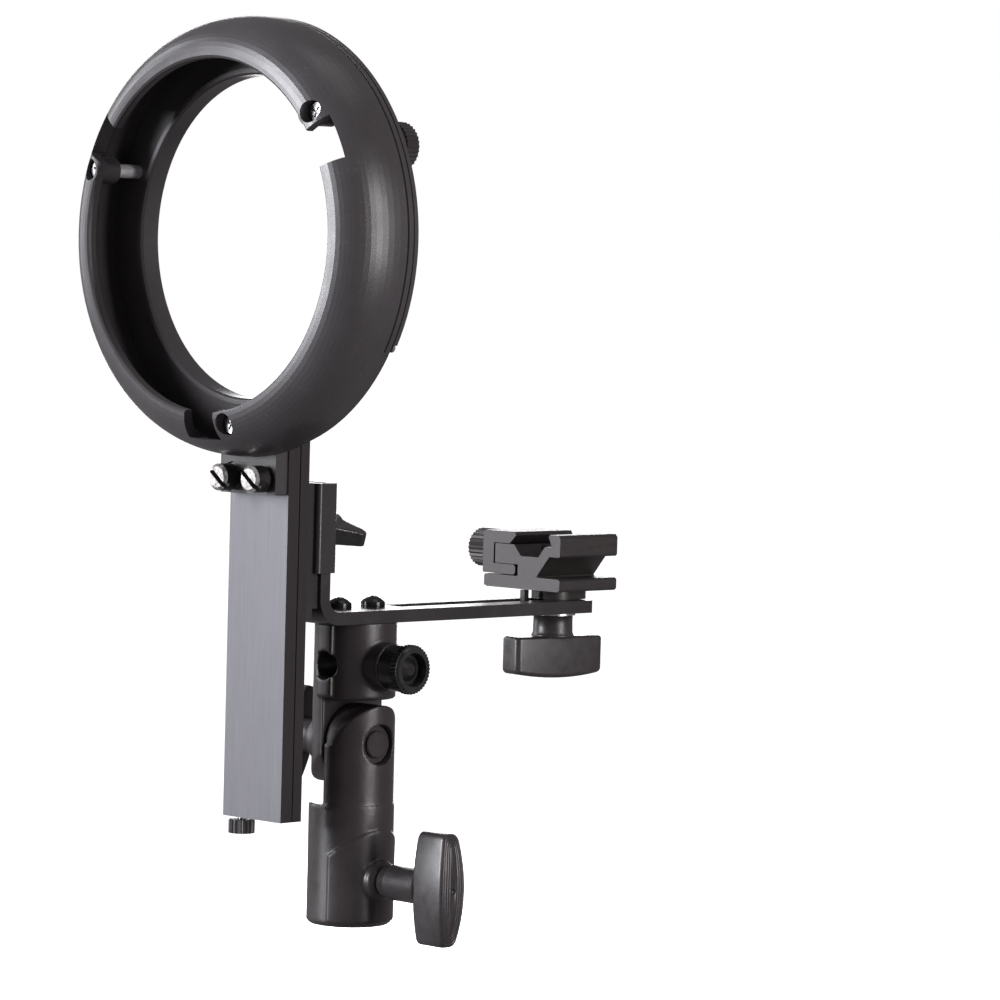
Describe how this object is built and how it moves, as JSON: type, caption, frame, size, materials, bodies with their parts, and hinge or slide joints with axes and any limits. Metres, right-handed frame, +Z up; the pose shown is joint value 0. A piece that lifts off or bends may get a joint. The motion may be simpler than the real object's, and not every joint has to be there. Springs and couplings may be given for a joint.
{
  "type": "umbrella swivel bracket",
  "caption": "Tilting stand bracket with umbrella hole, angle plate and clamping flash shoe, and a sliding column that carries a bayonet ring for modifiers.",
  "frame": {"origin": "centre of the stand socket's mouth, on the socket's axis", "axes": "+Z up along the stand's axis, -Y towards the front of the ring, +X to the viewer's right when the ring is seen from the front"},
  "size_m": [0.1496, 0.196, 0.317],
  "materials": {
    "die_cast_black": "satin",
    "ring_black": "satin",
    "plate_black": "satin",
    "column_grey": "satin",
    "handle_plastic": "satin",
    "knob_gloss": "gloss",
    "screw_black": "gloss",
    "screw_worn": "satin",
    "steel": "satin",
    "pin_steel": "polished",
    "brass": "satin",
    "fibre": "matte",
    "shoe_anodised": "satin",
    "slide_plastic": "matte"
  },
  "bodies": {
    "socket": {"socket_body": "die_cast_black", "pivot_nut": "die_cast_black", "friction_washer": "fibre"},
    "stand_lock": {"stand_handle": "handle_plastic", "stand_bolt": "steel", "stand_pad": "brass"},
    "head": {"head_body": "die_cast_black", "l_plate": "plate_black", "plate_screw_front": "screw_black", "plate_screw_rear": "screw_black", "clamp_sleeve": "plate_black", "slide_block": "slide_plastic", "channel_nut": "steel"},
    "tilt_lock": {"tilt_handle": "handle_plastic", "tilt_bolt": "steel", "tilt_washer": "steel"},
    "umbrella_lock": {"umbrella_knob": "knob_gloss", "umbrella_screw": "steel", "umbrella_knob_cap": "knob_gloss"},
    "wing": {"wing_knob": "knob_gloss", "wing_stud": "steel", "wing_washer": "steel"},
    "column": {"column": "column_grey", "column_plug": "slide_plastic", "ring_plate": "ring_black", "ring_body": "ring_black", "ring_bolt_a": "steel", "ring_bolt_b": "steel", "ring_bolt_c": "steel", "ring_spacer_a": "pin_steel", "ring_spacer_b": "pin_steel", "ring_spacer_c": "pin_steel", "rim_screw_a": "steel", "rim_screw_b": "steel", "rim_screw_c": "steel", "foot_screw_left": "screw_worn", "foot_screw_right": "screw_worn", "foot_nut_plate": "steel"},
    "end_screw": {"column_end_knob": "handle_plastic", "column_end_stud": "steel"},
    "lock": {"lock_knob": "handle_plastic", "lock_pin": "steel", "lock_spring": "steel"},
    "carriage": {"shoe_spacer": "shoe_anodised", "shoe_stud": "steel", "shoe_slot_key": "slide_plastic", "shoe_washer": "steel"},
    "shoe": {"shoe_body": "shoe_anodised"},
    "jaw": {"shoe_jaw": "shoe_anodised"},
    "wheel": {"shoe_wheel": "shoe_anodised", "shoe_screw": "steel", "shoe_screw_cap": "shoe_anodised"},
    "shoe_lock": {"shoe_handle": "handle_plastic", "shoe_insert": "brass"}
  },
  "joints": [
    {"name": "stand_lock_turn", "type": "hinge", "parent": "socket", "child": "stand_lock", "pos_m": [0.03, 0, 0.0166], "axis": [1, 0, 0], "range_deg": [-540, 180]},
    {"name": "head_tilt", "type": "hinge", "parent": "socket", "child": "head", "pos_m": [0, 0, 0.0638], "axis": [1, 0, 0], "range_deg": [-90, 30]},
    {"name": "tilt_lock_turn", "type": "hinge", "parent": "head", "child": "tilt_lock", "pos_m": [-0.025, 0, 0.0638], "axis": [1, 0, 0], "range_deg": [-180, 540]},
    {"name": "umbrella_lock_turn", "type": "hinge", "parent": "head", "child": "umbrella_lock", "pos_m": [0.025, 0, 0.0912], "axis": [1, 0, 0], "range_deg": [-1080, 0]},
    {"name": "wing_turn", "type": "hinge", "parent": "head", "child": "wing", "pos_m": [0, -0.02, 0.1395], "axis": [0, 1, 0], "range_deg": [-540, 90]},
    {"name": "column_slide", "type": "slide", "parent": "head", "child": "column", "axis": [0, 0, 1], "range_m": [-0.006, 0.069]},
    {"name": "end_screw_turn", "type": "hinge", "parent": "column", "child": "end_screw", "pos_m": [-0.0096, -0.0433, 0.038], "axis": [0, 0, 1], "range_deg": [-720, 0]},
    {"name": "lock_pull", "type": "slide", "parent": "column", "child": "lock", "axis": [0, 1, 0], "range_m": [0, 0.0035], "stiffness_N_per_m": 400, "springref_m": -0.003, "deforming": ["lock_spring"]},
    {"name": "carriage_slide", "type": "slide", "parent": "head", "child": "carriage", "axis": [0, 1, 0], "range_m": [-0.05, 0]},
    {"name": "shoe_turn", "type": "hinge", "parent": "carriage", "child": "shoe", "pos_m": [0, 0.1002, 0.118], "axis": [0, 0, 1], "range_deg": [-90, 90]},
    {"name": "jaw_slide", "type": "slide", "parent": "shoe", "child": "jaw", "axis": [1, 0, 0], "range_m": [-0.003, 0.0008]},
    {"name": "wheel_turn", "type": "hinge", "parent": "jaw", "child": "wheel", "pos_m": [-0.03, 0.1002, 0.1276], "axis": [1, 0, 0], "range_deg": [-1352, 362]},
    {"name": "shoe_lock_turn", "type": "hinge", "parent": "carriage", "child": "shoe_lock", "pos_m": [0, 0.1002, 0.098], "axis": [0, 0, 1], "range_deg": [-540, 180]}
  ],
  "couplings": [
    {"joint": "wheel_turn", "follows": "jaw_slide", "rad_per_m": 7854}
  ]
}
